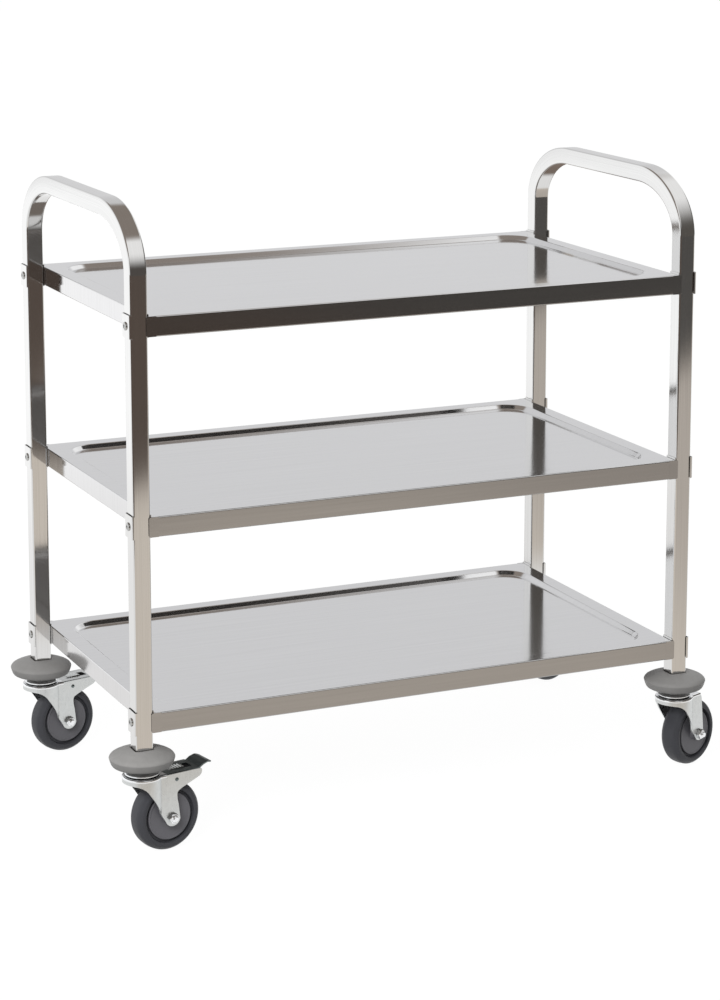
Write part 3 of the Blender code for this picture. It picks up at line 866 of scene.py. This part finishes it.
def hexagon_mesh(across, height, crown):
    """A hexagon nut or head about Z, chamfered, with a domed collar of that height."""
    corner, collar, top = across / math.sqrt(3), across * 0.42, height + crown
    prism = plate_of(arc((0, 0), corner, 0, 300, 5), height)
    prism.transform(Matrix.Translation((0, 0, height / 2)))
    angles = [math.radians(a) for a in (0, 30, 60, 90)]
    dome = [
        (across * 0.3 + across * 0.12 * math.sin(a), height + crown * math.cos(a)) for a in angles
    ]
    rim = [(across * 0.47, height), (corner, height - 0.9 * MM), (corner, 0.5 * MM)]
    turned = lathe([(0, top)] + dome + rim + [(corner - 0.8 * MM, 0), (0, 0)], 48)
    if crown:
        post = lathe([(0, top), (collar, top), (collar, height / 2), (0, height / 2)], 48)
        prism = boolean(prism, "UNION", post)
    return boolean(prism, "INTERSECT", turned)


def both_sides(half, middle=()):
    """A ring's (radius, height, rounding) profile, from its upper half and its middle."""
    return half + list(middle) + [(r, -z, rounding) for r, z, rounding in half[::-1]]


def tyre_mesh():
    """The tyre, with a step down to the hub on each side."""
    step = [(34, 10, 0), (34, 9.5, 0), (37.3, 9.3, 0.5), (38.3, 15.2, 0.9)]
    wall = [(43.5, 15.8, 6), (49.3, 9.2, 9)]
    outline = fillet(both_sides(step + wall, [(WHEEL_RADIUS / MM, 0, 0)]), steps=8)
    return on_y(lathe(in_mm(outline), 128, ring=True))


def hub_mesh():
    """The wheel's dished centre, with a boss for the axle."""
    upper = [(4.25, 18.5, 0), (10.2, 18.5, 0.6), (11, 13.9, 0.8), (30.5, 13.2, 1)]
    upper += [(31.6, 13.7, 0.5), (33.6, 13.7, 0.9), (33.7, 9, 0)]
    return on_y(lathe(in_mm(fillet(both_sides(upper), steps=4)), 96, ring=True))


def pedal_mesh():
    """The pedal's plate with its raised toe and its window."""
    low, high = 111.2, 113
    side = [(24, low, 0), (81.5, low, 3), (88, 115.2, 4), (94.5, 117.4, 3), (101, 115.9, 0.5)]
    side += [(101.4, 117.4, 0.5), (94.8, 119.1, 4), (86.6, 116.9, 5)]
    side += [(80.4, high, 3), (24, high, 0)]
    half = 18.5 * MM
    plate = moved(plate_of(in_mm(fillet(side, closed=True, steps=5)), 2 * half), quarter_turn("X"))
    tall = Matrix.Translation((0, 0, low * MM))
    heel, toe, round_toe = 20 * MM, 102 * MM, 5 * MM
    rounded = fillet(
        [(heel, -half, 0), (toe, -half, round_toe), (toe, half, round_toe), (heel, half, 0)],
        closed=True,
    )
    corners = ((40, -8), (75, -8), (75, 8), (40, 8))
    window = fillet([(x * MM, y * MM, 1.5 * MM) for x, y in corners], closed=True)
    plate = boolean(plate, "INTERSECT", moved(plate_of(rounded, 30 * MM), tall))
    plate = boolean(plate, "DIFFERENCE", moved(plate_of(window, 8 * MM), tall))
    return rounded_edges(plate, 0.3 * MM, angle=60)


def tongue_mesh():
    """The ribbed tab in the pedal's window."""
    start, slope, low, high = 39, 0.05, 113.3, 114.1
    ribs = [(start, 111.4), (start, 113.2)]
    for x in (43, 47, 51, 55, 59):
        lift = (x - start) * slope
        ribs += [(x - 1.3, low + lift), (x - 0.6, high + lift)]
        ribs += [(x + 0.6, high + lift), (x + 1.3, low + lift)]
    ribs += [(63, 114.4), (63.4, 113.6), (62, 111.4)]
    mesh = moved(plate_of(in_mm(ribs), 13 * MM), quarter_turn("X"))
    return rounded_edges(mesh, 0.25 * MM, angle=60)


def shoe_mesh():
    """The pad under the pedal, with the shoe that bears on the tyre."""
    pad = [(37, 111, 0.5), (78, 111, 0.5), (78, 109.4, 0.5)]
    shoe = [(61.5, 107.5, 1.5), (60, 99, 1), (54, 99, 1), (52.5, 107.5, 1.5)]
    outline = in_mm(fillet(pad + shoe + [(37, 109.4, 0.5)], closed=True))
    mesh = moved(plate_of(outline, 25 * MM), quarter_turn("X"))
    return rounded_edges(mesh, 0.3 * MM, angle=60)


def pivot_mesh():
    """The pedal's rivet, about its own axis along Y, with a domed head on each side of the yoke."""
    out = 23.7
    end = [(0, out), (1.2, out - 0.12), (2.1, out - 0.5)]
    end += [(2.7, out - 1.1), (2.7, out - 1.5), (1.9, out - 1.5)]
    profile = end + [(r, -z) for r, z in end[::-1]]
    return on_y(lathe(in_mm(profile), 32))


STEM = finish_mesh(stem_mesh(), BRIGHT)
TONGUE = finish_mesh(tongue_mesh(), ZINC, 35)
# The rivet is drawn in the darkened zinc: painted shade.
RIVET = finish_mesh(pivot_mesh(), ZINC_PAINTED_SHADE)
SHOE_PAD = finish_mesh(shoe_mesh(), SHOE, 35)
# The race ring is a painted shadow; it stands for the ball ring.
RACE_SHADOW_RING = finish_mesh(race_gap_shadow_mesh(), PAINTED_SHADOW)
TYRE_MESH = finish_mesh(tyre_mesh(), TYRE, 50)
HUB_MESH = finish_mesh(hub_mesh(), HUB, 50)
FORKS = {kind: finish_mesh(fork_mesh(kind), ZINC, 32) for kind in ("braked", "plain")}
CROWNS = {kind: finish_mesh(crown_mesh(kind), BRIGHT, 40) for kind in ("braked", "plain")}
grip = CROWN_RADIUS * math.sin(math.acos(CREASE / CROWN_RADIUS)) + CLEARANCE
NUT = finish_mesh(hexagon_mesh(NUT_ACROSS, 5 * MM, 1.8 * MM), BRIGHT, 30)
HEAD = finish_mesh(hexagon_mesh(NUT_ACROSS, 5.3 * MM, 0), BRIGHT, 30)
THREAD = finish_mesh(thread_mesh(4 * MM, 9.3 * MM, 1.25 * MM), BRIGHT, 40)

for corner in CORNERS:
    swivel, roll = JOINTS[f"swivel_{corner}"], JOINTS[f"roll_{corner}"]
    stem = Vector(swivel["pos_m"])
    ahead = Vector(roll["pos_m"]) - stem
    heading = math.atan2(ahead.y, ahead.x)
    foot = Matrix.Translation((stem.x, stem.y, 0))
    own = foot @ Matrix.Rotation(heading, 4, "Z")
    kind = "braked" if corner in BRAKED else "plain"
    body = f"caster_{corner}"
    axle = own @ Matrix.Translation((TRAIL, 0, WHEEL_RADIUS))
    near_side = axle @ Matrix.Translation((0, -grip, 0)) @ quarter_turn("X")
    far_side = axle @ Matrix.Translation((0, grip, 0)) @ quarter_turn("X", -1)
    wheel = f"wheel_{corner}"
    for name, mesh, rides_on, slot, nodes, place in (
        ("bumper_disc", BUMPER_MESH, "cart", "bumper_rubber", ["bumper"], foot),
        ("swivel_stem", STEM, "cart", "bright_steel", ["caster_stem"], foot),
        ("swivel_race_gap_shadow", RACE_SHADOW_RING, body, "bright_steel", ["ball_ring"], own),
        ("yoke", FORKS[kind], body, "zinc_plate", ["fork"], own),
        ("crown", CROWNS[kind], body, "bright_steel", [], own),
        ("nut", NUT, body, "bright_steel", ["axle_bolt"], near_side),
        ("thread", THREAD, body, "bright_steel", [], near_side),
        ("bolt_head", HEAD, body, "bright_steel", [], far_side),
        ("tread", TYRE_MESH, wheel, "tyre_rubber", ["tyre"], axle),
        ("wheel_hub", HUB_MESH, wheel, "hub_plastic", ["hub"], axle),
    ):
        stands_for = [f"{node}_{corner}" for node in nodes]
        piece(f"{name}_{corner}", mesh, rides_on, stands_for, place)
    if kind == "braked":
        # The front pedal's plate is drawn darker than the back one's, as painted shade.
        metal = ZINC_PAINTED_SHADE if corner == "front_left" else ZINC
        lever = finish_mesh(pedal_mesh(), metal, 35)
        brake = f"pedal_{corner}"
        piece(f"lever_{corner}", lever, brake, [f"brake_pedal_{corner}"], own)
        piece(f"tongue_{corner}", TONGUE, brake, [], own)
        piece(f"shoe_{corner}", SHOE_PAD, brake, [], own)
        pin = own @ Matrix.Translation(PIVOT)
        piece(f"rivet_{corner}", RIVET, brake, [], pin)


# ---- camera, floor and light ----


def aim(obj, direction):
    obj.rotation_mode = "QUATERNION"
    obj.rotation_quaternion = Vector(direction).to_track_quat("-Z", "Y")


# The camera, fitted to the cart's edges. Its X is measured from the middle of the legs.
YAW, PITCH = math.radians(24.24), math.radians(9.95)
leg_middle = (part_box("end_frame_left")[0].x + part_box("end_frame_right")[1].x) / 2
camera = bpy.data.objects.new("camera", bpy.data.cameras.new("camera"))
scene.collection.objects.link(camera)
camera.location = (-1.63418 + leg_middle, -3.6466, 1.4088)
aim(camera, (math.sin(YAW) * math.cos(PITCH), math.cos(YAW) * math.cos(PITCH), -math.sin(PITCH)))
camera.data.sensor_width = 36
camera.data.lens = 99.33
camera.data.shift_y = -0.2
camera.data.clip_start, camera.data.clip_end = 0.1, 200
scene.camera = camera


class Glow:
    """An emission painted by soft-edged regions of the object's own coordinates."""

    def __init__(self, name, colour, unit=False):
        self.material = bpy.data.materials.new(name)
        self.material.use_nodes = True
        self.material.cycles.emission_sampling = "NONE"
        self.tree = self.material.node_tree
        self.tree.nodes.clear()
        self.spot = self.tree.nodes.new("ShaderNodeTexCoord").outputs["Object"]
        if unit:
            sized = self.tree.nodes.new("ShaderNodeVectorMath")
            sized.operation = "NORMALIZE"
            self.tree.links.new(self.spot, sized.inputs[0])
            self.spot = sized.outputs[0]
        rgb = self.tree.nodes.new("ShaderNodeRGB")
        rgb.outputs[0].default_value = (*colour, 1)
        self.colour = rgb.outputs[0]

    def ramp(self, axis, start, end):
        """Rises smoothly from 0 to 1 while the distance along axis goes from start to end."""
        dot = self.tree.nodes.new("ShaderNodeVectorMath")
        dot.operation = "DOT_PRODUCT"
        dot.inputs[1].default_value = axis
        self.tree.links.new(self.spot, dot.inputs[0])
        flip = end < start
        limits = (min(start, end), max(start, end), flip, not flip)
        ranged = self.tree.nodes.new("ShaderNodeMapRange")
        ranged.interpolation_type = "SMOOTHSTEP"
        for key, value in zip(RANGE_KEYS, limits):
            ranged.inputs[key].default_value = value
        self.tree.links.new(dot.outputs["Value"], ranged.inputs["Value"])
        return ranged.outputs["Result"]

    def paint(self, colour, *ramps):
        """Lays colour over what is there, where all the ramps are 1."""
        factor = self.ramp(*ramps[0])
        for ramp in ramps[1:]:
            product = self.tree.nodes.new("ShaderNodeMath")
            product.operation = "MULTIPLY"
            self.tree.links.new(factor, product.inputs[0])
            self.tree.links.new(self.ramp(*ramp), product.inputs[1])
            factor = product.outputs[0]
        mixed = self.tree.nodes.new("ShaderNodeMixRGB")
        mixed.inputs["Color2"].default_value = (*colour, 1)
        self.tree.links.new(factor, mixed.inputs["Fac"])
        self.tree.links.new(self.colour, mixed.inputs["Color1"])
        self.colour = mixed.outputs["Color"]

    def finish(self):
        glow = self.tree.nodes.new("ShaderNodeEmission")
        out = self.tree.nodes.new("ShaderNodeOutputMaterial")
        self.tree.links.new(self.colour, glow.inputs["Color"])
        self.tree.links.new(glow.outputs[0], out.inputs["Surface"])
        return self.material


def stage_piece(name, mesh, material, location=(0, 0, 0), reflected_only=False):
    mesh.materials.clear()
    mesh.materials.append(material)
    made = bpy.data.objects.new(name, mesh)
    scene.collection.objects.link(made)
    made.location = location
    if reflected_only:
        made.visible_camera = made.visible_diffuse = made.visible_shadow = False
        made.visible_transmission = made.visible_volume_scatter = False
    return made


def disc_mesh(radius):
    work = bmesh.new()
    bmesh.ops.create_circle(work, cap_ends=True, segments=96, radius=radius)
    mesh = bpy.data.meshes.new("disc")
    work.to_mesh(mesh)
    work.free()
    return mesh


def ball_mesh(radius):
    work = bmesh.new()
    bmesh.ops.create_uvsphere(work, u_segments=64, v_segments=32, radius=radius)
    mesh = bpy.data.meshes.new("ball")
    work.to_mesh(mesh)
    work.free()
    return mesh


paper = Surface("floor_paper", (0.06, 0.06, 0.06), 0.9)
paper.shader.inputs["Specular IOR Level"].default_value = 0
paper.shader.inputs["Emission Color"].default_value = (1, 1, 1, 1)
paper.shader.inputs["Emission Strength"].default_value = 0.97
paper.material.cycles.emission_sampling = "NONE"
floor = stage_piece("floor", disc_mesh(60), paper.material)
floor.visible_glossy = floor.visible_diffuse = False

# The room that the steel mirrors: white behind and to the left, dark in front with a light high
# above its right side, and a dim warm ceiling.
RIGHT, UP, BACK, FRONT = (1, 0, 0), (0, 0, 1), (0.2, 0.98, 0), (0.35, -0.94, 0)
LEFT, SLANT, CORNER = (-1, 0.1, 0), (0.855, -0.519, 0), (0.947, -0.322, 0)
room = Glow("studio_room", (0.3, 0.26, 0.23), unit=True)
room.paint((0.76, 0.76, 0.77), (BACK, -0.2, 0.3), (UP, 0.72, 0.6))
room.paint((1.2, 1.21, 1.22), (LEFT, 0.1, 0.6), (UP, 0.55, 0.35))
room.paint((1.12, 1.12, 1.12), (SLANT, 0.05, 0.3), (UP, 0.945, 0.865))
room.paint((0.1, 0.09, 0.083), (FRONT, 0.1, 0.4), (UP, 0.68, 0.14))
room.paint((0.12, 0.11, 0.1), (CORNER, 0.53, 0.8))
stage_piece("studio_room", ball_mesh(7), room.finish(), (0, 0, 0.5), reflected_only=True)

# The floor that the upright steel mirrors: white, beige in front of the cart, nearly black further
# out and brown behind it on the right.
IN_FRONT = ((0, -1, 0), 0.3, 0.6)
BEHIND = ((0, 1, 0), 0.3, 0.6)
FURTHER_OUT = ((-0.385, -0.923, 0), 1.81, 2.12)
sweep = Glow("studio_sweep", (1.3, 1.31, 1.32))
sweep.paint((1.05, 1.05, 1.05), ((-0.41, 0.91, 0), 3.0, 0.9))
sweep.paint((0.78, 0.71, 0.63), IN_FRONT, ((1, -0.3, 0), -0.9, -0.5))
sweep.paint((0.6, 0.545, 0.49), IN_FRONT, (RIGHT, 0.5, 1.3))
sweep.paint((0.24, 0.19, 0.16), ((1, -0.3, 0), -0.24, -0.14), BEHIND, (RIGHT, 2.4, 1.9))
sweep.paint((0.12, 0.093, 0.078), FURTHER_OUT)
sweep.paint((0.1, 0.095, 0.09), FURTHER_OUT, (RIGHT, 1.2, 1.7))
stage_piece("studio_sweep", disc_mesh(7), sweep.finish(), (0, 0, 0.0015), reflected_only=True)

lamp = bpy.data.objects.new("soft_light", bpy.data.lights.new("soft_light", "AREA"))
lamp.data.shape = "DISK"
lamp.data.size = 1.2
lamp.data.energy = 52
lamp.location = (-1.7, -1.7, 1.7)
aim(lamp, (1.4, 1.5, -1.4))
lamp.visible_glossy = False
scene.collection.objects.link(lamp)

world = bpy.data.worlds.new("studio")
scene.world = world
world.use_nodes = True
sky = world.node_tree
height = sky.nodes.new("ShaderNodeSeparateXYZ")
sky.links.new(sky.nodes.new("ShaderNodeTexCoord").outputs["Generated"], height.inputs[0])
rise = sky.nodes.new("ShaderNodeMapRange")
for key, value in zip(RANGE_KEYS, (-0.15, 0.1, 0.18, 0.62)):
    rise.inputs[key].default_value = value
sky.links.new(height.outputs["Z"], rise.inputs["Value"])
sky.links.new(rise.outputs["Result"], sky.nodes["Background"].inputs["Strength"])
sky.nodes["Background"].inputs["Color"].default_value = (1, 1, 1, 1)
scene.view_settings.view_transform = "Standard"
